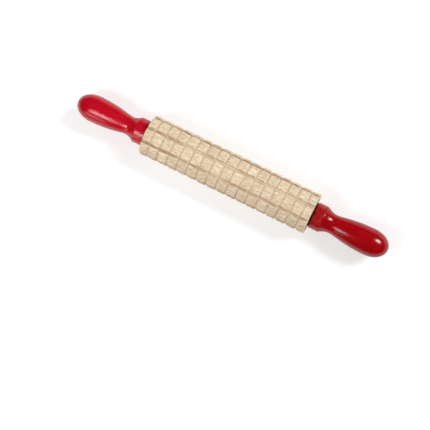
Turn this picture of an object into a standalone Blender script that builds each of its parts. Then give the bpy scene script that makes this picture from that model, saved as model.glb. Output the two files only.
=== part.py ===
"""Hand-held textured pattern roller: a wooden barrel cut with a grid of grooves, turning on a steel
axle between two turned and lacquered wooden handles.

Frame: X runs along the axle, +Z is up, and the origin is the middle of the axle. The roller lies on
the pads of its lowest row. All sizes are in metres.
"""

import math

import bmesh
import bpy
from mathutils import Vector
from mathutils.geometry import interpolate_bezier

MM = 0.001

# Driving dimensions: the barrel and its grid of pads.
BARREL_RADIUS = 13.4 * MM
PAD_ROWS = 8
RING_GROOVES = 16
RING_PITCH = 7.0 * MM
END_PAD_LENGTH = 5.7 * MM
RING_GROOVE_WIDTH = 2.0 * MM
RING_GROOVE_DEPTH = 1.0 * MM
FLUTE_WIDTH = 2.4 * MM
FLUTE_FLOOR_WIDTH = 1.5 * MM
FLUTE_DEPTH = 1.1 * MM
BARREL_END_CHAMFER = 0.5 * MM
BARREL_LENGTH = (RING_GROOVES - 1) * RING_PITCH + 2 * END_PAD_LENGTH
BARREL_END = BARREL_LENGTH / 2

# Driving dimensions: the handle, measured from its inner face towards its tip.
HANDLE_LENGTH = 50.6 * MM
COLLAR_RADIUS = 8.6 * MM
COLLAR_LENGTH = 6.7 * MM
COLLAR_EDGE = 0.5 * MM
NECK_AT = 13.1 * MM
NECK_RADIUS = 6.2 * MM
BULB_AT = 38.2 * MM
BULB_RADIUS = 8.9 * MM

# How far the handle's curves run on in the direction they leave or reach the collar, neck and bulb.
COVE_RUN = 1.8 * MM
COVE_DROP = 1.5 * MM
NECK_REACH_IN = 2.4 * MM
NECK_REACH_OUT = 4.0 * MM
BULB_REACH_IN = 14.8 * MM
DOME_FULLNESS = 0.57

# Driving dimensions: the axle and what turns on it.
AXLE_RADIUS = 2.5 * MM
AXLE_IN_HANDLE = 25.0 * MM
AXLE_CHAMFER = 0.5 * MM
BUSH_RADIUS = 5.0 * MM
BUSH_LENGTH = 10.0 * MM
WASHER_RADIUS = 8.0 * MM
WASHER_THICKNESS = 0.4 * MM
END_GAP = 1.0 * MM

# Clearances: a running fit, and the gap kept between pieces that are pressed together.
RUNNING_CLEARANCE = 0.1 * MM
SEAT_GAP = 0.3 * MM

# Facets of the round pieces.
TURNED_SEGMENTS = 32
PAD_FACETS = 3
CURVE_POINTS = 6


def clear_scene():
    for obj in list(bpy.data.objects):
        bpy.data.objects.remove(obj)


def make_material(name, colour, roughness, metallic=0.0, coat=0.0):
    """A Principled material; the colour is linear red, green and blue."""
    material = bpy.data.materials.new(name)
    material.use_nodes = True
    shader = material.node_tree.nodes["Principled BSDF"]
    shader.inputs["Base Color"].default_value = (*colour, 1.0)
    shader.inputs["Roughness"].default_value = roughness
    shader.inputs["Metallic"].default_value = metallic
    shader.inputs["Coat Weight"].default_value = coat
    material.diffuse_color = (*colour, 1.0)
    return material


def link_object(name, mesh, material, parent=None):
    obj = bpy.data.objects.new(name, mesh)
    obj.data.materials.append(material)
    obj.parent = parent
    bpy.context.scene.collection.objects.link(obj)
    return obj


def finish_mesh(bm, name):
    """The bmesh as a closed mesh facing out, shaded smooth except at its sharp edges."""
    bmesh.ops.remove_doubles(bm, verts=bm.verts, dist=0.001 * MM)
    bmesh.ops.recalc_face_normals(bm, faces=bm.faces)
    mesh = bpy.data.meshes.new(name)
    bm.to_mesh(mesh)
    bm.free()
    mesh.shade_smooth()
    mesh.set_sharp_from_angle(angle=math.radians(30))
    return mesh


def turned_mesh(name, profile, closed):
    """Turns a profile of (x, radius) points about X. A closed profile makes a ring, an open one a solid
    whose ends lie on the axis."""
    bm = bmesh.new()
    points = [bm.verts.new((x, 0, radius)) for x, radius in profile]
    pairs = list(zip(points, points[1:]))
    if closed:
        pairs.append((points[-1], points[0]))
    edges = [bm.edges.new(pair) for pair in pairs]
    bmesh.ops.spin(
        bm,
        geom=points + edges,
        cent=(0, 0, 0),
        axis=(1, 0, 0),
        angle=math.tau,
        steps=TURNED_SEGMENTS,
        use_merge=True,
    )
    return finish_mesh(bm, name)


def bezier(start, start_handle, end_handle, end):
    """Points along a Bezier curve between two (x, radius) points, without its first point."""
    knots = [Vector((*point, 0)) for point in (start, start_handle, end_handle, end)]
    return [(p.x, p.y) for p in interpolate_bezier(*knots, CURVE_POINTS)][1:]


def ring_groove_places():
    middle = (RING_GROOVES - 1) / 2
    return [(i - middle) * RING_PITCH for i in range(RING_GROOVES)]


def barrel_section():
    """One turn of the barrel's cross-section, as (angle from +Z, cut depth) points. The pads' facets
    touch the true radius, so a pad's corners lie a little outside it."""
    pitch = math.tau / PAD_ROWS
    flute_half = math.asin(FLUTE_WIDTH / 2 / BARREL_RADIUS)
    floor_half = math.asin(FLUTE_FLOOR_WIDTH / 2 / (BARREL_RADIUS - FLUTE_DEPTH))
    pad_angle = pitch - 2 * flute_half
    section = []
    for row in range(PAD_ROWS):
        middle = row * pitch
        for i in range(PAD_FACETS + 1):
            section.append((middle - pad_angle / 2 + pad_angle * i / PAD_FACETS, 0.0))
        section.append((middle + pitch / 2 - floor_half, FLUTE_DEPTH))
        section.append((middle + pitch / 2 + floor_half, FLUTE_DEPTH))
    return section, BARREL_RADIUS / math.cos(pad_angle / PAD_FACETS / 2)


def barrel_stations():
    """The barrel's sections from end to end, as (x, least cut depth) pairs."""
    stations = [
        (-BARREL_END, BARREL_END_CHAMFER),
        (-BARREL_END + BARREL_END_CHAMFER, 0.0),
    ]
    for place in ring_groove_places():
        stations.append((place - RING_GROOVE_WIDTH / 2, 0.0))
        stations.append((place, RING_GROOVE_DEPTH))
        stations.append((place + RING_GROOVE_WIDTH / 2, 0.0))
    stations.append((BARREL_END - BARREL_END_CHAMFER, 0.0))
    stations.append((BARREL_END, BARREL_END_CHAMFER))
    return stations


def bore_stations():
    """The stepped bore from the +X end back to the -X end: a bush seat, the clear bore, a bush seat."""
    seat = BUSH_RADIUS + SEAT_GAP
    clear = AXLE_RADIUS + 2 * SEAT_GAP
    shoulder = BARREL_END - BUSH_LENGTH - SEAT_GAP
    return [
        (BARREL_END, seat),
        (shoulder, seat),
        (shoulder, clear),
        (-shoulder, clear),
        (-shoulder, seat),
        (-BARREL_END, seat),
    ]


def barrel_mesh():
    """Rings of points for the grooved outside and the bore, skinned in one closed tour."""
    section, corner_radius = barrel_section()
    rings = []
    for x, least_depth in barrel_stations():
        rings.append([(x, a, corner_radius - max(depth, least_depth)) for a, depth in section])
    for x, radius in bore_stations():
        rings.append([(x, a, radius) for a, _ in section])
    bm = bmesh.new()
    loops = [[bm.verts.new((x, r * math.sin(a), r * math.cos(a))) for x, a, r in ring] for ring in rings]
    for first, second in zip(loops, loops[1:] + loops[:1]):
        for i in range(len(first)):
            j = (i + 1) % len(first)
            bm.faces.new((first[i], first[j], second[j], second[i]))
    return finish_mesh(bm, "barrel")


def handle_profile():
    """The handle from its blind bore round to its tip: collar, cove to the neck, grip and domed end."""
    bore = AXLE_RADIUS + SEAT_GAP
    collar_corner = (COLLAR_LENGTH, COLLAR_RADIUS)
    neck = (NECK_AT, NECK_RADIUS)
    bulb = (BULB_AT, BULB_RADIUS)
    tip = (HANDLE_LENGTH, 0.0)
    profile = [
        (AXLE_IN_HANDLE + SEAT_GAP, 0.0),
        (AXLE_IN_HANDLE + SEAT_GAP, bore),
        (0.0, bore),
        (0.0, COLLAR_RADIUS - COLLAR_EDGE),
        (COLLAR_EDGE, COLLAR_RADIUS),
        collar_corner,
    ]
    profile += bezier(
        collar_corner,
        (COLLAR_LENGTH + COVE_RUN, COLLAR_RADIUS - COVE_DROP),
        (NECK_AT - NECK_REACH_IN, NECK_RADIUS),
        neck,
    )
    profile += bezier(
        neck,
        (NECK_AT + NECK_REACH_OUT, NECK_RADIUS),
        (BULB_AT - BULB_REACH_IN, BULB_RADIUS),
        bulb,
    )
    profile += bezier(
        bulb,
        (BULB_AT + DOME_FULLNESS * (HANDLE_LENGTH - BULB_AT), BULB_RADIUS),
        (HANDLE_LENGTH, DOME_FULLNESS * BULB_RADIUS),
        tip,
    )
    return profile


def make_handles(material, hub):
    """The two handles share one mesh; the left one is turned about to face the other way."""
    mesh = turned_mesh("handle", handle_profile(), closed=False)
    for side, name in ((1, "handle_right"), (-1, "handle_left")):
        handle = link_object(name, mesh, material, hub)
        handle.location.x = side * (BARREL_END + END_GAP)
        handle.rotation_euler.z = 0 if side > 0 else math.pi


def make_axle(material, hub):
    half = BARREL_END + END_GAP + AXLE_IN_HANDLE
    profile = [
        (-half, 0.0),
        (-half, AXLE_RADIUS - AXLE_CHAMFER),
        (-half + AXLE_CHAMFER, AXLE_RADIUS),
        (half - AXLE_CHAMFER, AXLE_RADIUS),
        (half, AXLE_RADIUS - AXLE_CHAMFER),
        (half, 0.0),
    ]
    link_object("axle", turned_mesh("axle", profile, closed=False), material, hub)


def ring_profile(length, inner, outer):
    half = length / 2
    return [(-half, inner), (-half, outer), (half, outer), (half, inner)]


def make_ring_pair(name, profile, middle, material, parent):
    """A ring at each end of the barrel, both of one mesh."""
    mesh = turned_mesh(name, profile, closed=True)
    for side, word in ((1, "right"), (-1, "left")):
        ring = link_object(f"{name}_{word}", mesh, material, parent)
        ring.location.x = side * middle


def main():
    clear_scene()
    bare_wood = make_material("bare_wood", (0.62, 0.51, 0.36), 0.6)
    red_lacquer = make_material("red_lacquer", (0.36, 0.002, 0.007), 0.25, coat=0.5)
    steel = make_material("steel", (0.55, 0.55, 0.56), 0.3, metallic=1.0)
    nylon = make_material("nylon", (0.75, 0.73, 0.68), 0.4)
    dark_fibre = make_material("dark_fibre", (0.02, 0.008, 0.008), 0.8)

    # Both hubs are on the axle's line, about which the barrel turns between the handles.
    handle_hub = bpy.data.objects.new("handle_hub", None)
    barrel_hub = bpy.data.objects.new("barrel_hub", None)
    for hub in (handle_hub, barrel_hub):
        bpy.context.scene.collection.objects.link(hub)

    link_object("barrel", barrel_mesh(), bare_wood, barrel_hub)
    bush = ring_profile(BUSH_LENGTH, AXLE_RADIUS + RUNNING_CLEARANCE, BUSH_RADIUS)
    make_ring_pair("bush", bush, BARREL_END - BUSH_LENGTH / 2, nylon, barrel_hub)
    washer = ring_profile(WASHER_THICKNESS, AXLE_RADIUS + SEAT_GAP, WASHER_RADIUS)
    make_ring_pair("washer", washer, BARREL_END + END_GAP / 2, dark_fibre, handle_hub)
    make_axle(steel, handle_hub)
    make_handles(red_lacquer, handle_hub)


main()
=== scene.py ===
"""Looks of the textured pattern roller: the barrel's softened, chipped pads and its grain, the handles'
gloss over turned wood, and a pale studio seen from above. Everything is in metres, in the frame's axes:
X along the axle, +Z up."""

import math

import bpy
import numpy as np
from mathutils import Matrix, Vector
from mathutils.geometry import interpolate_bezier


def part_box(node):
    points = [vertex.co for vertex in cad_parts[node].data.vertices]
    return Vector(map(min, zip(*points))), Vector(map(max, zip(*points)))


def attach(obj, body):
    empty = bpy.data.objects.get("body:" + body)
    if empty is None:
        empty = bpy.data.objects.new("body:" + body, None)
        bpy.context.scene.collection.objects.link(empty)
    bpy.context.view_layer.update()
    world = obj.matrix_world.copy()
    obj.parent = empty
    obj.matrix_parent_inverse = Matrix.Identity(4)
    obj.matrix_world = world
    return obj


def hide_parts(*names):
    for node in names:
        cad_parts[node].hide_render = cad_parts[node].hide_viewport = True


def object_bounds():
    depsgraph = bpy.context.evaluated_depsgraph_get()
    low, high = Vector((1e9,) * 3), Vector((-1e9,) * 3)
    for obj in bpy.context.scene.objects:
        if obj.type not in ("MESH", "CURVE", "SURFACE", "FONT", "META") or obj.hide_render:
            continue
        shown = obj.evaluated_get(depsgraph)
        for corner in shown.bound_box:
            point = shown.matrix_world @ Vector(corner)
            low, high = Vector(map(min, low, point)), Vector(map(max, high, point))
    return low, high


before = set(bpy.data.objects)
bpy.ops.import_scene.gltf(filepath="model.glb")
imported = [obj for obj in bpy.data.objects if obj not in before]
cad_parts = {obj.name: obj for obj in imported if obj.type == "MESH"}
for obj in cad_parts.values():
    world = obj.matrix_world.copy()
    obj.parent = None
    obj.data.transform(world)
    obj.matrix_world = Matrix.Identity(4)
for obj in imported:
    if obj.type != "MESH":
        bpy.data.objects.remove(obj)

MM = 0.001
CAD_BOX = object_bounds()
random = np.random.default_rng(12)

# The barrel. Its length and radius come from the frame, and the pads repeat the design's lattice.
BARREL_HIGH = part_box("barrel")[1]
BARREL_END = BARREL_HIGH.x
PAD_RADIUS = BARREL_HIGH.z
PAD_ROWS = 8
ROW_PITCH = math.tau / PAD_ROWS
RING_GROOVES = 16
RING_PITCH = 7.0 * MM
RING_PLACES = (np.arange(RING_GROOVES) - (RING_GROOVES - 1) / 2) * RING_PITCH
GROOVE_MEETING_POWER = 6
END_ROUND = 0.6 * MM
END_FACE_DROP = 3 * MM
BUSH_SEAT_RADIUS = 5.3 * MM
BUSH_SEAT_DEPTH = 10.3 * MM
BORE_RADIUS = 3.1 * MM

# A ring groove: the pads' crowns fall away roundly to it, and the cutter's tip left a nick at its foot.
# The grooves run slightly askew, except at the barrel's ends, and their foot and lower walls are drawn
# darker: painted shade.
RING_DEPTH = 0.9 * MM
RING_DEPTH_FACTORS = (0.88, 1.04)
RING_SLOPE_REACH = 0.85 * MM
RING_SLOPE_POWER = 2.8
RING_NICK_DEPTH = 0.3 * MM
RING_NICK_HALF = 0.6 * MM
RING_SKEW = math.radians(0.35)
RING_SKEW_FADE_POWER = 8
RING_SHADE_FROM = 0.3 * MM
RING_SHADE_TO = 1.25 * MM

# A flute: a flat floor between steep walls. Their spacing and width are uneven, and so is how brown the
# cutter burnt each of them. All of them are browner at the left end. Their walls are drawn darker: partly
# brown cut wood, partly painted shade.
FLUTE_DEPTH = 1.1 * MM
FLUTE_FLOOR_HALF = 0.7 * MM
FLUTE_RIM_HALF = 1.15 * MM
FLUTE_SHIFTS = np.array((-0.4, -0.5, 0.1, -0.15, 0.2, 0.05, -0.1, 0.25)) * MM
FLUTE_SWAY = 0.08 * MM
FLUTE_RAGGEDNESS = 0.06 * MM
FLUTE_BURNS = (0.12, 0.9, 0.4, 0.55, 0.3, 0.5, 0.6, 0.28)
BURN_SPREAD = 0.16
BURNT_END = -34 * MM
BURNT_END_BLEND = 3 * MM
BURNT_END_EXTRA = 0.6

# The pads differ in height and tilt. Their crowns fade out where a groove is this deep.
PAD_HEIGHT_SPREAD = 0.05 * MM
PAD_TILT_SPREAD = 0.012
PAD_LIFT_LIMITS = (-0.12 * MM, 0.08 * MM)
PAD_SWELL = 0.02 * MM
CROWN_FADE_DEPTH = 0.7 * MM

# Gouges and splits: how many, how far they spread over a row or the barrel, and the least and greatest
# size of each. They fade out below the crowns.
GOUGES = 90
GOUGE_ROW_REACH = 0.38
GOUGE_LENGTHS = (1.0 * MM, 3.4 * MM)
GOUGE_HALF_WIDTHS = (0.16 * MM, 0.5 * MM)
GOUGE_CUTS = (0.12 * MM, 0.42 * MM)
GOUGE_RAGGEDNESS = 0.3
GOUGE_RAG_LENGTH = 0.4 * MM
SPLITS = 34
SPLIT_BARREL_REACH = 0.95
SPLIT_LENGTHS = (1.5 * MM, 5.0 * MM)
SPLIT_WIDTHS = (0.3 * MM, 1.1 * MM)
SPLIT_CUTS = (0.12 * MM, 0.35 * MM)
SPLIT_HEAD = 0.4 * MM
SPLIT_TAIL = 1.2 * MM
SPLIT_TAPER = 0.3 * MM
SPLIT_LIP = 0.18 * MM
TORN_BELOW_CROWN = 0.25
TORN_STAIN_DEPTH = 0.3 * MM

# Where the edges get a painted highlight, drawn pale as if they caught the light: this deep down a groove's
# shoulder, and this near to an end.
HIGHLIGHT_EDGE_DEPTH = 0.16 * MM
HIGHLIGHT_END_REACH = 0.8 * MM

# The barrel's mesh: how many faces each pad gets, and how far they crowd to its edges.
FACES_ALONG_PAD = 22
FACES_ACROSS_PAD = 32
CROWDING = 1.5
BARREL_SHARP_ANGLE = math.radians(50)

# The handle, measured from its inner face, as in the design. The two aren't quite alike.
LEFT_COLLAR_LENGTH = 7.05 * MM
RIGHT_COLLAR_LENGTH = 6.75 * MM
LEFT_NECK_RADIUS = 6.13 * MM
RIGHT_NECK_RADIUS = 6.23 * MM
COLLAR_RADIUS = 8.6 * MM
COLLAR_ROUND = 0.25 * MM
COLLAR_SIDE_MARGINS = (0.8 * MM, 0.5 * MM)
COLLAR_BACK_ROUND = 0.2 * MM
COLLAR_BACK_DROPS = (0.03 * MM, 0.12 * MM)
NECK_AT = 13.1 * MM
BULB_AT = 38.2 * MM
TIP_CAP_RADIUS = 0.05 * MM
HANDLE_BORE_RADIUS = 2.8 * MM
HANDLE_BORE_DEPTH = 25.3 * MM

# How far the handle's curves run on in the direction they leave or reach the collar, neck and bulb.
COVE_RUN = 2.0 * MM
COVE_DROP = 1.4 * MM
NECK_REACH_IN = 2.0 * MM
NECK_REACH_OUT = 4.0 * MM
BULB_REACH_IN = 14.8 * MM
DOME_FULLNESS = 0.57

# Hand finishing left the handle a little out of round, with fine turning marks. Its scuffs fade out from
# before the collar's back to beyond it.
OUT_OF_ROUND = 0.004
TURNING_MARK = 0.005 * MM
SCUFFS_BEFORE_BACK = 0.6 * MM
SCUFFS_BEYOND_BACK = 0.3 * MM
HANDLE_SEGMENTS = 128
CURVE_POINTS = 40
HANDLE_SHARP_ANGLE = math.radians(40)

# Colours are linear red, green and blue.
RAISED_FUZZ = (0.78, 0.71, 0.57)
EDGE_HIGHLIGHT_WOOD = (0.76, 0.665, 0.51)
PALE_WOOD = (0.685, 0.57, 0.418)
FLUTE_FLOOR = (0.635, 0.485, 0.325)
PATCHY_WOOD = (0.60, 0.455, 0.30)
TAN_WOOD = (0.55, 0.423, 0.285)
END_GRAIN = (0.55, 0.42, 0.275)
FIBRE_BROWN = (0.49, 0.36, 0.225)
LATE_WOOD = (0.49, 0.35, 0.215)
LINE_BROWN = (0.47, 0.335, 0.205)
STREAK_BROWN = (0.44, 0.30, 0.175)
RING_GROOVE_SHADE = (0.41, 0.31, 0.20)
TORN_WOOD = (0.41, 0.265, 0.15)
END_LATE_WOOD = (0.40, 0.275, 0.165)
FLECK_BROWN = (0.38, 0.24, 0.13)
FLUTE_WALL_BROWN_AND_SHADE = (0.36, 0.215, 0.11)
SCORCHED_WOOD = (0.345, 0.195, 0.09)
PORE_BROWN = (0.33, 0.22, 0.125)
SCUFFED_RED = (0.40, 0.03, 0.035)
BRIGHT_STEEL = (0.56, 0.56, 0.57)
DULL_STEEL = (0.40, 0.38, 0.36)
CLEAN_NYLON = (0.78, 0.76, 0.70)
GREYED_NYLON = (0.62, 0.60, 0.54)
FIBRE_BLACK_AND_GAP_SHADE = (0.006, 0.003, 0.003)
FIBRE_RED_BROWN_AND_GAP_SHADE = (0.018, 0.006, 0.006)
FLOOR_GREY = (0.65, 0.65, 0.65)
WHITE = (1.0, 1.0, 1.0)

# Where the growth rings' middle lies beside the barrel, as Y and Z, their spacing, how much they lean along
# it, and how far they bend. Lengths are in millimetres, as in the materials.
PITH = (-34.0, 21.0)
GROWTH_RING_SPACING = 1.7
GROWTH_RING_LEAN = 0.03
GROWTH_RING_BEND = 7.0

# How far the surfaces' fine relief rises and falls.
WOOD_RELIEF = 0.1 * MM
SCRATCH_RELIEF = 0.02 * MM
FELT_RELIEF = 0.04 * MM

# The two handles are given different lacquer settings; the right one has the darker red and the lower
# specular level. Each has its light and its deep red, how far its surface rises and falls, its least and
# greatest roughness, its specular level, and how scuffed its collar is.
LEFT_LACQUER = {
    "red": (0.5, 0.0036, 0.0145),
    "deep_red": (0.38, 0.0022, 0.01),
    "ripple": 0.12 * MM,
    "roughness": (0.09, 0.15),
    "reflection": 0.36,
    "wear": 0.03,
}
RIGHT_LACQUER = {
    "red": (0.35, 0.0008, 0.0038),
    "deep_red": (0.257, 0.0005, 0.0026),
    "ripple": 0.02 * MM,
    "roughness": (0.16, 0.21),
    "reflection": 0.31,
    "wear": 0.13,
}

# The camera looks nearly straight down, and the roller lies aslant in its view.
CAMERA_DISTANCE = 0.6248
CAMERA_LENS = 82.55
CAMERA_CLIP_START = 0.01
CAMERA_LEAN_ALONG = math.radians(7.8)
CAMERA_LEAN_ACROSS = math.radians(5.1)
ROLLER_SLANT = math.radians(26.21)
AIM_ALONG = 3.19 * MM
AIM_ACROSS = -27.38 * MM

# The lights: where each stands, its sides along and across the roller, and its power. Two soft boxes give
# the gloss its highlights, and a low card on the left its sheen.
LIGHTS = {
    "key": ((1.04, 1.16, 1.26), (0.69, 0.62), 36.0),
    "low_side_softbox": ((-0.135, -0.192, 0.35), (0.17, 0.155), 0.95),
    "low_side_card": ((-0.32, -0.62, 0.26), (0.34, 0.22), 0.75),
}
SURROUNDINGS_STRENGTH = 0.34
FLOOR_HALF = 3.0
FLOOR_GLOW = 0.35


# ---------------------------------------------------------------- meshes


def mesh_from_grid(name, rings, material, tour):
    """Rings of points round the axis as one closed mesh that faces out. A tour comes back to its first
    ring; otherwise the first and the last ring are capped. rings has the shape (rings, points, 3)."""
    count, around, _ = rings.shape
    index = np.arange(count * around).reshape(count, around)
    near = index if tour else index[:-1]
    far = np.roll(index, -1, axis=0)[: len(near)]
    corners = [near, far, np.roll(far, -1, axis=1), np.roll(near, -1, axis=1)]
    faces = np.stack(corners, axis=-1).reshape(-1, 4).tolist()
    if not tour:
        faces += [index[0].tolist(), index[-1, ::-1].tolist()]
    mesh = bpy.data.meshes.new(name)
    mesh.from_pydata(rings.reshape(-1, 3), [], faces)
    mesh.shade_smooth()
    mesh.materials.append(material)
    obj = bpy.data.objects.new(name, mesh)
    bpy.context.scene.collection.objects.link(obj)
    return obj


def turned_rings(profile, angles):
    """Rings of points for a turned stretch, from its (x, radius) profile."""
    x, radius = np.array(profile).T
    along = np.repeat(x[:, None], len(angles), axis=1)
    return np.stack([along, radius[:, None] * np.sin(angles), radius[:, None] * np.cos(angles)], axis=-1)


def keep_value(obj, name, values):
    """Stores a number on each point, for the material to read."""
    attribute = obj.data.attributes.new(name, "FLOAT", "POINT")
    attribute.data.foreach_set("value", np.asarray(values, np.float32).reshape(-1))


def smooth_step(low, high, value):
    """0 up to low, 1 from high, smooth between."""
    t = np.clip((value - low) / (high - low), 0, 1)
    return t * t * (3 - 2 * t)


def waves(along, around, waves_along, waves_around, count):
    """A smooth random field from about -1 to 1, which closes on itself round the axis. waves_along is the
    most waves to a metre, waves_around the most to a turn, and count how many are added up."""
    field = np.zeros(np.broadcast(along, around).shape)
    for _ in range(count):
        k = random.uniform(-1, 1) * waves_along * math.tau
        m = random.integers(-waves_around, waves_around + 1)
        field += np.sin(k * along + m * around + random.uniform(0, math.tau))
    return field / math.sqrt(count)


# ---------------------------------------------------------------- barrel


def crowded(edges, steps):
    """Stations from each edge to just before the next, closer together near the edges."""
    q = np.linspace(-1, 1, steps, endpoint=False)
    warped = np.sign(q) * (1 - (1 - np.abs(q)) ** CROWDING)
    spans = [(low + high) / 2 + (high - low) / 2 * warped for low, high in zip(edges, edges[1:])]
    return np.concatenate(spans)


def barrel_stations():
    edges = np.concatenate([[-BARREL_END], RING_PLACES, [BARREL_END]])
    return np.append(crowded(edges, FACES_ALONG_PAD), BARREL_END)


def barrel_angles():
    """Angles from +Z towards +Y, all the way round."""
    edges = (np.arange(PAD_ROWS + 1) - 0.5) * ROW_PITCH
    return crowded(edges, FACES_ACROSS_PAD)


def pad_numbers(x, angle):
    """Which pad each point is on, along and round the barrel."""
    along = np.searchsorted(RING_PLACES, x)
    around = np.round(angle / ROW_PITCH).astype(int) % PAD_ROWS
    return along, around


def nearest_ring_groove(x):
    return np.clip(np.round((x - RING_PLACES[0]) / RING_PITCH).astype(int), 0, RING_GROOVES - 1)


def from_ring_groove(x):
    """The distance to the nearest ring groove."""
    return np.abs(x - RING_PLACES[nearest_ring_groove(x)])


def from_flute(angle):
    """The signed distance round the barrel to the nearest flute."""
    turned = angle / ROW_PITCH
    flute = np.floor(turned).astype(int)
    return (turned - flute - 0.5) * ROW_PITCH * PAD_RADIUS - FLUTE_SHIFTS[flute % PAD_ROWS]


def from_row(angle):
    """The signed distance round the barrel to the middle of the nearest row of pads."""
    turned = angle / ROW_PITCH
    return (turned - np.round(turned)) * ROW_PITCH * PAD_RADIUS


def from_place(angle, rows):
    """The signed distance round the barrel to a place, which is given in rows from the first."""
    return (np.mod(angle - rows * ROW_PITCH + math.pi, math.tau) - math.pi) * PAD_RADIUS


def ring_cut(x, depth_factors):
    """The ring grooves' depth: a round slope with a nick at its foot."""
    away = from_ring_groove(x)
    slope = (RING_DEPTH - RING_NICK_DEPTH) * np.exp(-((away / RING_SLOPE_REACH) ** RING_SLOPE_POWER))
    nick = RING_NICK_DEPTH * np.clip(1 - away / RING_NICK_HALF, 0, 1)
    return depth_factors[nearest_ring_groove(x)] * (slope + nick)


def flute_cut(x, angle):
    """The flutes' depth: a flat floor between steep walls with rounded shoulders."""
    uneven = FLUTE_SWAY * waves(x, 0 * angle, 60, 0, 6)
    uneven += FLUTE_RAGGEDNESS * waves(x, angle, 200, 6, 12)
    away = np.abs(from_flute(angle)) + uneven
    return FLUTE_DEPTH * (1 - smooth_step(FLUTE_FLOOR_HALF, FLUTE_RIM_HALF, away))


def burns(x, angle):
    """How brown each flute is along its length, as 0 to 1."""
    flute = np.floor(angle / ROW_PITCH).astype(int) % PAD_ROWS
    level = np.array(FLUTE_BURNS)[flute] + BURN_SPREAD * waves(x, flute, 50, 3, 10)
    at_left_end = 1 - smooth_step(BURNT_END - BURNT_END_BLEND, BURNT_END + BURNT_END_BLEND, x)
    return np.clip(level + BURNT_END_EXTRA * at_left_end, 0, 1)


def gouges(x, angle):
    """Fibres torn out along the grain where a ring groove crosses them: short, narrow and open to the
    groove. The half of each next to the groove is the deepest."""
    depth = np.zeros(x.shape)
    for _ in range(GOUGES):
        side = random.choice((-1, 1))
        into_pad = side * (x - random.choice(RING_PLACES))
        row = random.integers(PAD_ROWS)
        beside = from_place(angle, row + random.uniform(-GOUGE_ROW_REACH, GOUGE_ROW_REACH))
        length = random.uniform(*GOUGE_LENGTHS)
        half_width = random.uniform(*GOUGE_HALF_WIDTHS)
        cut = random.uniform(*GOUGE_CUTS)
        ragged = 1 + GOUGE_RAGGEDNESS * np.sin(into_pad / GOUGE_RAG_LENGTH + row)
        lengthwise = np.clip((length - into_pad) / (0.5 * length), 0, 1) * (into_pad > 0)
        crosswise = np.clip(1 - (beside / half_width / ragged) ** 2, 0, 1)
        depth = np.maximum(depth, cut * lengthwise * crosswise)
    return depth


def splits(x, angle):
    """Slivers broken off a pad's edge beside a flute, each leaving a low step along the grain."""
    depth = np.zeros(x.shape)
    for _ in range(SPLITS):
        start = random.uniform(-SPLIT_BARREL_REACH, SPLIT_BARREL_REACH) * BARREL_END
        length = random.uniform(*SPLIT_LENGTHS)
        side = random.choice((-1, 1))
        beside = side * from_place(angle, random.integers(PAD_ROWS) + 0.5)
        width = FLUTE_RIM_HALF + random.uniform(*SPLIT_WIDTHS)
        cut = random.uniform(*SPLIT_CUTS)
        within = smooth_step(0, SPLIT_HEAD, x - start) * smooth_step(0, SPLIT_TAIL, start + length - x)
        tapered = width - SPLIT_TAPER * (x - start) / length
        lip = smooth_step(0, SPLIT_LIP, tapered - beside) * (beside > 0)
        depth = np.maximum(depth, cut * within * lip)
    return depth


def barrel_surface():
    """The carved outside: points round the axis at each station, and what the material needs to know."""
    x, angle = np.meshgrid(barrel_stations(), barrel_angles(), indexing="ij")
    pads = pad_numbers(x, angle)
    heights = random.normal(0, PAD_HEIGHT_SPREAD, (RING_GROOVES + 1, PAD_ROWS))
    tilts = random.normal(0, PAD_TILT_SPREAD, (RING_GROOVES + 1, PAD_ROWS))
    tones = random.uniform(-1, 1, (RING_GROOVES + 1, PAD_ROWS))
    depth_factors = random.uniform(*RING_DEPTH_FACTORS, RING_GROOVES)

    ring = ring_cut(x, depth_factors)
    flute = flute_cut(x, angle)
    grooves = (ring**GROOVE_MEETING_POWER + flute**GROOVE_MEETING_POWER) ** (1 / GROOVE_MEETING_POWER)
    crown = np.clip(1 - grooves / CROWN_FADE_DEPTH, 0, 1)
    torn = np.maximum(gouges(x, angle), splits(x, angle)) * np.clip(crown + TORN_BELOW_CROWN, 0, 1)
    lift = np.clip(heights[pads] + tilts[pads] * from_row(angle), *PAD_LIFT_LIMITS)
    lift += PAD_SWELL * waves(x, angle, 150, 20, 24)
    to_end = BARREL_END - np.abs(x)
    over_round = np.clip(END_ROUND - to_end, 0, None)
    rounding = END_ROUND - np.sqrt(np.clip(END_ROUND**2 - over_round**2, 0, None))
    radius = PAD_RADIUS + lift * crown - grooves - torn - rounding

    skew = math.tan(RING_SKEW) * (1 - (x / BARREL_END) ** RING_SKEW_FADE_POWER)
    askew = skew * PAD_RADIUS * np.sin(angle)
    points = np.stack([x + askew, radius * np.sin(angle), radius * np.cos(angle)], axis=-1)
    # Painted highlight: the grooves' shoulders and the barrel's ends are marked to be drawn paler, as if
    # catching the light.
    highlit_shoulder = 1 - np.abs(grooves - HIGHLIGHT_EDGE_DEPTH) / HIGHLIGHT_EDGE_DEPTH
    highlit_end = 1 - to_end / HIGHLIGHT_END_REACH
    values = {
        "flute": flute / FLUTE_DEPTH,
        # Painted shade: ring marks each ring groove's foot and walls, to be drawn darker.
        "ring": 1 - smooth_step(RING_SHADE_FROM, RING_SHADE_TO, from_ring_groove(x)),
        "burn": burns(x, angle),
        "torn": np.clip(torn / TORN_STAIN_DEPTH, 0, 1),
        "tone": tones[pads] * crown,
        "edge_highlight": np.clip(np.maximum(highlit_shoulder, highlit_end), 0, 1),
        "end": 1 - smooth_step(0, END_ROUND, to_end),
    }
    return points, values


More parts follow.
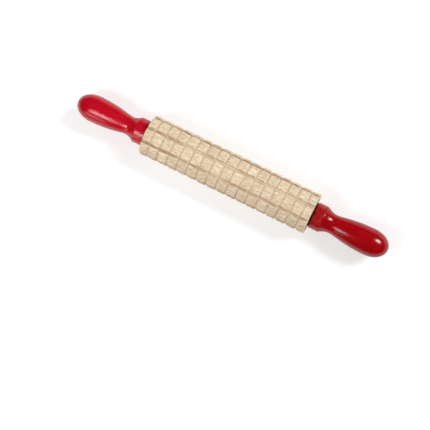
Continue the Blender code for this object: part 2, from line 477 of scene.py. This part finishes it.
def make_barrel(material):
    """The carved outside, the end faces, and the bore with a wider seat for a bush at each end."""
    outside, values = barrel_surface()
    angles = barrel_angles()
    shoulder = BARREL_END - BUSH_SEAT_DEPTH
    inside = [(BARREL_END, r) for r in np.linspace(PAD_RADIUS - END_FACE_DROP, BUSH_SEAT_RADIUS, 5)]
    inside += [(shoulder, BUSH_SEAT_RADIUS), (shoulder, BORE_RADIUS)]
    inside += [(-x, r) for x, r in reversed(inside)]
    rings = np.concatenate([outside, turned_rings(inside, angles)])
    barrel = mesh_from_grid("barrel_carved", rings, material, tour=True)
    for name, value in values.items():
        within = np.full((len(inside), len(angles)), float(name == "end"))
        keep_value(barrel, name, np.concatenate([value, within]))
    barrel.data.set_sharp_from_angle(angle=BARREL_SHARP_ANGLE)
    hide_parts("barrel")
    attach(barrel, "barrel")


# ---------------------------------------------------------------- handles


def bezier(start, start_handle, end_handle, end):
    """Points along a Bezier curve between two (x, radius) points, without its first point."""
    knots = [Vector((*point, 0)) for point in (start, start_handle, end_handle, end)]
    return [(p.x, p.y) for p in interpolate_bezier(*knots, CURVE_POINTS)][1:]


def rounded_corner(radius, size):
    """A quarter turn from the collar's face to its side."""
    turns = np.linspace(0, math.pi / 2, 7)
    return [(size * (1 - math.cos(t)), radius - size * (1 - math.sin(t))) for t in turns]


def collar_profile(length):
    """The collar from its bore: the face, the side, and the back edge, which is worn slightly round."""
    face = np.linspace(HANDLE_BORE_RADIUS, COLLAR_RADIUS - COLLAR_ROUND, 5, endpoint=False)
    side = np.linspace(COLLAR_SIDE_MARGINS[0], length - COLLAR_SIDE_MARGINS[1], 12)
    back = (length - COLLAR_BACK_ROUND, length)
    profile = [(0, r) for r in face]
    profile += rounded_corner(COLLAR_RADIUS, COLLAR_ROUND)
    profile += [(x, COLLAR_RADIUS) for x in side]
    profile += [(x, COLLAR_RADIUS - drop) for x, drop in zip(back, COLLAR_BACK_DROPS)]
    return profile


def handle_profile(length, bulb_radius, collar_length, neck_radius):
    """The handle's outside from its inner face to its tip."""
    profile = collar_profile(collar_length)
    neck = (NECK_AT, neck_radius)
    bulb = (BULB_AT, bulb_radius)
    profile += bezier(
        profile[-1],
        (collar_length + COVE_RUN, COLLAR_RADIUS - COVE_DROP),
        (NECK_AT - NECK_REACH_IN, neck_radius),
        neck,
    )
    profile += bezier(
        neck,
        (NECK_AT + NECK_REACH_OUT, neck_radius),
        (BULB_AT - BULB_REACH_IN, bulb_radius),
        bulb,
    )
    profile += bezier(
        bulb,
        (BULB_AT + DOME_FULLNESS * (length - BULB_AT), bulb_radius),
        (length, DOME_FULLNESS * bulb_radius),
        (length, TIP_CAP_RADIUS),
    )
    return profile


def make_handle(node, side, collar_length, neck_radius, material):
    """One turned handle, a little uneven as hand finishing leaves it, with the blind bore for the axle."""
    low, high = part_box(node)
    inner_face = low.x if side > 0 else high.x
    profile = handle_profile(high.x - low.x, high.z, collar_length, neck_radius)
    bore = [(HANDLE_BORE_DEPTH, TIP_CAP_RADIUS), (HANDLE_BORE_DEPTH, HANDLE_BORE_RADIUS)]
    angles = np.linspace(0, math.tau, HANDLE_SEGMENTS, endpoint=False)
    outside = turned_rings(profile, angles)
    x = outside[..., 0]
    radius = np.array(profile)[:, 1:]
    uneven = 1 - OUT_OF_ROUND * (1 + waves(x, angles[None, :], 40, 2, 8) / 2)
    marks = TURNING_MARK * waves(x, 0 * angles[None, :], 700, 0, 16) / np.maximum(radius, MM)
    outside[..., 1:] *= np.where(radius > HANDLE_BORE_RADIUS, uneven + marks, 1)[..., None]
    rings = np.concatenate([turned_rings(bore, angles), outside])
    fade_from = collar_length - SCUFFS_BEFORE_BACK
    fade_to = collar_length + SCUFFS_BEYOND_BACK
    collar = 1 - smooth_step(fade_from, fade_to, rings[..., 0])
    rings[..., 0] = inner_face + side * rings[..., 0]
    if side < 0:
        rings = rings[:, ::-1]
    handle = mesh_from_grid(f"{node}_turned", rings, material, tour=False)
    keep_value(handle, "collar", collar)
    handle.data.set_sharp_from_angle(angle=HANDLE_SHARP_ANGLE)
    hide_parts(node)
    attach(handle, "handles")


# ---------------------------------------------------------------- materials


class Nodes:
    """A Principled material under construction: each call adds nodes and returns their last output."""

    def __init__(self, name):
        self.material = bpy.data.materials.new(name)
        self.material.use_nodes = True
        self.tree = self.material.node_tree
        self.shader = self.tree.nodes["Principled BSDF"]

    def feed(self, socket, value):
        """Links a socket to another node's output, or sets its value."""
        if isinstance(value, bpy.types.NodeSocket):
            self.tree.links.new(value, socket)
        elif isinstance(value, tuple) and socket.type == "RGBA":
            socket.default_value = (*value, 1)
        else:
            socket.default_value = value

    def add(self, kind, output=0, inputs=(), **settings):
        made = self.tree.nodes.new("ShaderNode" + kind)
        for name, value in settings.items():
            setattr(made, name, value)
        for name, value in dict(inputs).items():
            self.feed(made.inputs[name], value)
        return made.outputs[output]

    def places(self, stretch=(1, 1, 1)):
        """The piece's own coordinates in millimetres, stretched."""
        place = self.add("TexCoord", output="Object")
        factors = tuple(1000 * s for s in stretch)
        return self.add("VectorMath", inputs={0: place, 1: factors}, operation="MULTIPLY")

    def noise(self, stretch, detail, scale=1.0):
        inputs = {"Vector": self.places(stretch), "Scale": scale, "Detail": detail}
        return self.add("TexNoise", output="Fac", inputs=inputs)

    def stored(self, name):
        """A number that keep_value stored on the mesh."""
        return self.add("Attribute", output="Fac", attribute_name=name)

    def maths(self, operation, first, second=0.0):
        return self.add("Math", inputs={0: first, 1: second}, operation=operation)

    def total(self, *terms, start=0.0):
        """Adds each value times its weight to the start."""
        total = start
        for value, weight in terms:
            inputs = {0: value, 1: weight, 2: total}
            total = self.add("Math", inputs=inputs, operation="MULTIPLY_ADD")
        return total

    def between(self, value, low, high):
        """0 at low, 1 at high, smooth between."""
        inputs = {"Value": value, "From Min": low, "From Max": high}
        return self.add("MapRange", inputs=inputs, interpolation_type="SMOOTHSTEP")

    def spread(self, value, low, high):
        """Low where the value is 0, high where it is 1."""
        return self.add("MapRange", inputs={"Value": value, "To Min": low, "To Max": high})

    def mix(self, factor, first, second, blend_type="MIX"):
        """Mixes two colours. On a Mix node, colours A and B are inputs 6 and 7, and their result output 2."""
        inputs = {0: factor, 6: first, 7: second}
        return self.add("Mix", output=2, inputs=inputs, data_type="RGBA", blend_type=blend_type)

    def tint_towards(self, colour, mask, strength, towards):
        """Draws a colour towards another where the mask is high, at most by the strength: for stains, painted
        shade and painted highlights alike.
        """
        return self.mix(self.maths("MULTIPLY", mask, strength), colour, towards)

    def bump(self, height, distance, strength):
        return self.add("Bump", inputs={"Height": height, "Distance": distance, "Strength": strength})

    def finish(self, **values):
        """Feeds the shader's sockets, which are named with _ for each space, and returns the material."""
        for name, value in values.items():
            self.feed(self.shader.inputs[name.replace("_", " ")], value)
        return self.material


def growth_rings(nodes):
    """Dark late-wood lines round the pith, as 0 to 1."""
    bend = nodes.noise((0.02, 0.11, 0.11), detail=3.0)
    along, *crosswise = nodes.add("SeparateXYZ", inputs={0: nodes.places()}).node.outputs
    y, z = (nodes.maths("SUBTRACT", place, middle) for place, middle in zip(crosswise, PITH))
    squares = nodes.maths("ADD", nodes.maths("MULTIPLY", y, y), nodes.maths("MULTIPLY", z, z))
    radius = nodes.maths("SQRT", squares)
    radius = nodes.total((along, GROWTH_RING_LEAN), (bend, GROWTH_RING_BEND), start=radius)
    part = nodes.maths("FRACT", nodes.maths("DIVIDE", radius, GROWTH_RING_SPACING))
    rise = nodes.between(part, 0.35, 0.9)
    fall = nodes.between(part, 1.0, 0.93)
    return nodes.maths("MULTIPLY", rise, fall)


def browned_and_shaded_flutes(nodes, colour):
    """The colour with the flutes' darker walls, partly brown cut wood and partly painted shade, and their tan
    floors, each scorched by as much as it was burnt.
    """
    flute = nodes.stored("flute")
    floor = nodes.between(flute, 0.85, 1.0)
    wall = nodes.maths("SUBTRACT", nodes.between(flute, 0.15, 0.55), floor)
    patchiness = nodes.between(nodes.noise((0.14, 0.9, 0.9), detail=3.0), 0.3, 0.62)
    browned_and_shaded = nodes.maths("MULTIPLY", nodes.total((floor, 0.15), start=wall), patchiness)
    patches = nodes.between(nodes.noise((0.4, 0.9, 0.9), detail=3.0), 0.3, 0.6)
    burnt = nodes.maths("MULTIPLY", nodes.between(flute, 0.15, 0.7), nodes.stored("burn"))
    scorched = nodes.maths("MULTIPLY", burnt, nodes.spread(patches, 0.3, 0.95))
    colour = nodes.tint_towards(colour, floor, 0.7, FLUTE_FLOOR)
    # Partly painted shade: the walls are drawn darker as well as browner.
    colour = nodes.tint_towards(colour, browned_and_shaded, 0.8, FLUTE_WALL_BROWN_AND_SHADE)
    return nodes.mix(scorched, colour, SCORCHED_WOOD)


def bare_wood():
    """Pale close-grained wood: growth rings, long fibres, flecks and raised fuzz, browner where it was cut
    deep, with painted shade in the grooves and painted highlights on their shoulders and at the ends. The end
    faces show its rings and pores instead."""
    nodes = Nodes("bare_wood_carved")
    rings = growth_rings(nodes)
    bands = nodes.noise((0.2, 0.8, 0.8), detail=3.0)
    fibres = nodes.noise((0.13, 2.1, 2.1), detail=4.0)
    patches = nodes.noise((0.04, 0.17, 0.17), detail=2.0)
    lines = nodes.noise((0.06, 5.5, 5.5), detail=3.0)
    turning = nodes.noise((4.0, 0.12, 0.12), detail=2.0)
    streaks = nodes.between(nodes.noise((0.2, 1.2, 1.2), detail=6.0, scale=1.05), 0.49, 0.67)
    flecks = nodes.between(nodes.noise((0.4, 2.6, 2.6), detail=3.0), 0.6, 0.74)
    fuzz = nodes.between(nodes.noise((0.22, 1.3, 1.3), detail=6.0, scale=1.1), 0.5, 0.68)
    pores = nodes.between(nodes.noise((1.0, 6.0, 6.0), detail=2.0), 0.55, 0.72)

    colour = nodes.mix(nodes.between(bands, 0.36, 0.64), PALE_WOOD, TAN_WOOD)
    colour = nodes.tint_towards(colour, nodes.between(patches, 0.3, 0.7), 0.3, PATCHY_WOOD)
    colour = nodes.tint_towards(colour, rings, 0.3, LATE_WOOD)
    colour = nodes.tint_towards(colour, nodes.between(fibres, 0.4, 0.7), 0.4, FIBRE_BROWN)
    colour = nodes.tint_towards(colour, nodes.between(lines, 0.4, 0.7), 0.3, LINE_BROWN)
    colour = nodes.tint_towards(colour, streaks, 0.74, STREAK_BROWN)
    colour = nodes.tint_towards(colour, flecks, 0.75, FLECK_BROWN)
    colour = nodes.tint_towards(colour, fuzz, 0.78, RAISED_FUZZ)
    pad_brightness = nodes.total((nodes.stored("tone"), 0.05), start=1.0)
    colour = nodes.mix(1.0, colour, pad_brightness, blend_type="MULTIPLY")

    colour = browned_and_shaded_flutes(nodes, colour)
    # Painted shade: darker at each ring groove's foot and walls.
    colour = nodes.tint_towards(colour, nodes.stored("ring"), 0.3, RING_GROOVE_SHADE)
    colour = nodes.tint_towards(colour, nodes.stored("torn"), 0.6, TORN_WOOD)
    # Painted highlight: the marked shoulders and ends are drawn paler.
    colour = nodes.tint_towards(colour, nodes.stored("edge_highlight"), 0.4, EDGE_HIGHLIGHT_WOOD)

    end_grain = nodes.tint_towards(END_GRAIN, rings, 0.75, END_LATE_WOOD)
    end_grain = nodes.tint_towards(end_grain, pores, 0.5, PORE_BROWN)
    colour = nodes.mix(nodes.stored("end"), colour, end_grain)

    raised = ((fibres, 1.2), (turning, 0.35), (bands, 0.8), (lines, 0.45))
    sunk = ((flecks, -0.6), (rings, -0.25))
    return nodes.finish(
        Base_Color=colour,
        Roughness=nodes.spread(fibres, 0.55, 0.75),
        Normal=nodes.bump(nodes.total(*raised, *sunk), WOOD_RELIEF, 0.8),
        Specular_IOR_Level=0.3,
    )


def red_lacquer(name, red, deep_red, ripple, roughness, reflection, wear):
    """Glossy red lacquer over turned wood: the grain shows as streaks, and turning marks as faint rings."""
    nodes = Nodes(name)
    grain = nodes.noise((0.14, 1.3, 1.3), detail=4.0)
    mottle = nodes.noise((0.8, 1.0, 1.0), detail=3.0)
    cloud = nodes.noise((0.12, 0.2, 0.2), detail=2.0)
    turning = nodes.noise((0.55, 0.03, 0.03), detail=3.0)
    peel = nodes.noise((1.2, 1.7, 1.7), detail=2.0)
    pores = nodes.between(nodes.noise((0.5, 2.0, 2.0), detail=1.0), 0.62, 0.73)
    scuffs = nodes.between(nodes.noise((0.5, 0.9, 0.9), detail=3.0), 0.3, 0.6)
    worn = nodes.maths("MULTIPLY", nodes.maths("MULTIPLY", nodes.stored("collar"), scuffs), wear)

    darkest = tuple(0.6 * c for c in deep_red)
    colour = nodes.mix(nodes.between(grain, 0.32, 0.68), red, deep_red)
    colour = nodes.tint_towards(colour, nodes.between(mottle, 0.4, 0.62), 0.5, deep_red)
    colour = nodes.tint_towards(colour, nodes.between(cloud, 0.35, 0.7), 0.3, deep_red)
    colour = nodes.tint_towards(colour, nodes.between(turning, 0.45, 0.65), 0.3, darkest)
    colour = nodes.tint_towards(colour, nodes.between(peel, 0.5, 0.7), 0.35, darkest)
    colour = nodes.tint_towards(colour, pores, 0.5, darkest)

    height = nodes.total((mottle, 0.5), (grain, 0.5), (peel, 0.55), (turning, 0.3), (pores, -0.2))
    return nodes.finish(
        Base_Color=nodes.mix(worn, colour, SCUFFED_RED),
        Roughness=nodes.maths("ADD", nodes.spread(grain, *roughness), worn),
        Normal=nodes.bump(height, ripple, 1.0),
        Specular_IOR_Level=reflection,
    )


def steel_rod():
    """Drawn steel: fine scratches along the rod."""
    nodes = Nodes("steel_rod")
    scratches = nodes.noise((0.05, 9.0, 9.0), detail=3.0)
    spots = nodes.noise((0.4, 0.4, 0.4), detail=3.0)
    return nodes.finish(
        Base_Color=nodes.mix(nodes.between(spots, 0.4, 0.75), BRIGHT_STEEL, DULL_STEEL),
        Metallic=1.0,
        Roughness=nodes.spread(scratches, 0.2, 0.45),
        Normal=nodes.bump(scratches, SCRATCH_RELIEF, 0.5),
    )


def nylon_sleeve():
    """Natural moulded nylon, greyed in cloudy patches."""
    nodes = Nodes("nylon_sleeve")
    cloud = nodes.noise((0.3, 0.3, 0.3), detail=3.0)
    grains = nodes.noise((5.0, 5.0, 5.0), detail=1.0)
    return nodes.finish(
        Base_Color=nodes.mix(nodes.between(cloud, 0.35, 0.7), CLEAN_NYLON, GREYED_NYLON),
        Roughness=nodes.spread(cloud, 0.35, 0.55),
        Normal=nodes.bump(grains, SCRATCH_RELIEF, 0.4),
    )


def dark_fibre_and_gap_shade():
    """Dark reddish-brown vulcanised fibre, matt and slightly fuzzy. Its near-black is partly painted shade,
    for the deep narrow gap between the barrel and each collar.
    """
    nodes = Nodes("dark_fibre_sheet_and_gap_shade")
    felt = nodes.noise((1.2, 2.2, 2.2), detail=4.0)
    return nodes.finish(
        Base_Color=nodes.mix(nodes.between(felt, 0.35, 0.75), FIBRE_BLACK_AND_GAP_SHADE, FIBRE_RED_BROWN_AND_GAP_SHADE),
        Roughness=nodes.spread(felt, 0.7, 0.95),
        Normal=nodes.bump(felt, FELT_RELIEF, 0.6),
        Specular_IOR_Level=0.1,
    )


def dress_inner_pieces():
    """The pieces that keep their CAD shape get their finished materials."""
    dresses = (
        (steel_rod(), ("axle",)),
        (nylon_sleeve(), ("bush_left", "bush_right")),
        # The washers' near-black is partly painted shade for the gap they sit in.
        (dark_fibre_and_gap_shade(), ("washer_left", "washer_right")),
    )
    for material, nodes in dresses:
        for node in nodes:
            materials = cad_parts[node].data.materials
            materials.clear()
            materials.append(material)


# ---------------------------------------------------------------- studio


def facing(right, toward):
    """The rotation of a camera or light whose right side and back face these ways."""
    return Matrix((right, toward.cross(right), toward)).transposed().to_4x4()


def put(name, data, place, rotation):
    obj = bpy.data.objects.new(name, data)
    obj.matrix_world = Matrix.Translation(place) @ rotation
    bpy.context.scene.collection.objects.link(obj)
    return obj


def along_roller(toward):
    """The direction closest to the roller's axis in a view from the given direction."""
    return (Vector((1, 0, 0)) - toward * toward.x).normalized()


def place_camera():
    toward = Vector(
        (
            math.sin(CAMERA_LEAN_ALONG),
            math.sin(CAMERA_LEAN_ACROSS) * math.cos(CAMERA_LEAN_ALONG),
            math.cos(CAMERA_LEAN_ACROSS) * math.cos(CAMERA_LEAN_ALONG),
        )
    )
    along = along_roller(toward)
    across = toward.cross(along)
    data = bpy.data.cameras.new("camera")
    data.lens = CAMERA_LENS
    data.clip_start = CAMERA_CLIP_START
    right = math.cos(ROLLER_SLANT) * along + math.sin(ROLLER_SLANT) * across
    place = toward * CAMERA_DISTANCE + along * AIM_ALONG + across * AIM_ACROSS
    bpy.context.scene.camera = put("camera", data, place, facing(right, toward))


def place_light(name, place, size, power):
    """A soft rectangular light that faces the roller, with its first side along it."""
    data = bpy.data.lights.new(name, "AREA")
    data.shape = "RECTANGLE"
    data.size, data.size_y = size
    data.energy = power
    toward = Vector(place).normalized()
    put(name, data, place, facing(along_roller(toward), toward))


def place_floor():
    """A pale floor under the roller. Its slight glow keeps the shadows pale."""
    height = CAD_BOX[0].z
    signs = ((-1, -1), (1, -1), (1, 1), (-1, 1))
    mesh = bpy.data.meshes.new("floor")
    mesh.from_pydata([(FLOOR_HALF * x, FLOOR_HALF * y, height) for x, y in signs], [], [(0, 1, 2, 3)])
    material = Nodes("pale_floor").finish(
        Base_Color=FLOOR_GREY,
        Roughness=0.9,
        Specular_IOR_Level=0.0,
        Emission_Color=WHITE,
        Emission_Strength=FLOOR_GLOW,
    )
    mesh.materials.append(material)
    floor = bpy.data.objects.new("floor", mesh)
    bpy.context.scene.collection.objects.link(floor)


def light_studio():
    """The lights, and white surroundings that fill the shadows. The surroundings stay out of the
    reflections, as they would above a dark ceiling."""
    for name, (place, size, power) in LIGHTS.items():
        place_light(name, place, size, power)
    world = bpy.data.worlds.new("studio")
    world.use_nodes = True
    background = world.node_tree.nodes["Background"]
    background.inputs["Color"].default_value = (*WHITE, 1.0)
    background.inputs["Strength"].default_value = SURROUNDINGS_STRENGTH
    world.cycles_visibility.glossy = False
    bpy.context.scene.world = world
    bpy.context.scene.view_settings.view_transform = "Standard"


def main():
    place_camera()
    place_floor()
    light_studio()
    make_barrel(bare_wood())
    left_lacquer = red_lacquer("red_lacquer_left", **LEFT_LACQUER)
    right_lacquer = red_lacquer("red_lacquer_right", **RIGHT_LACQUER)
    make_handle("handle_left", -1, LEFT_COLLAR_LENGTH, LEFT_NECK_RADIUS, left_lacquer)
    make_handle("handle_right", 1, RIGHT_COLLAR_LENGTH, RIGHT_NECK_RADIUS, right_lacquer)
    dress_inner_pieces()


main()
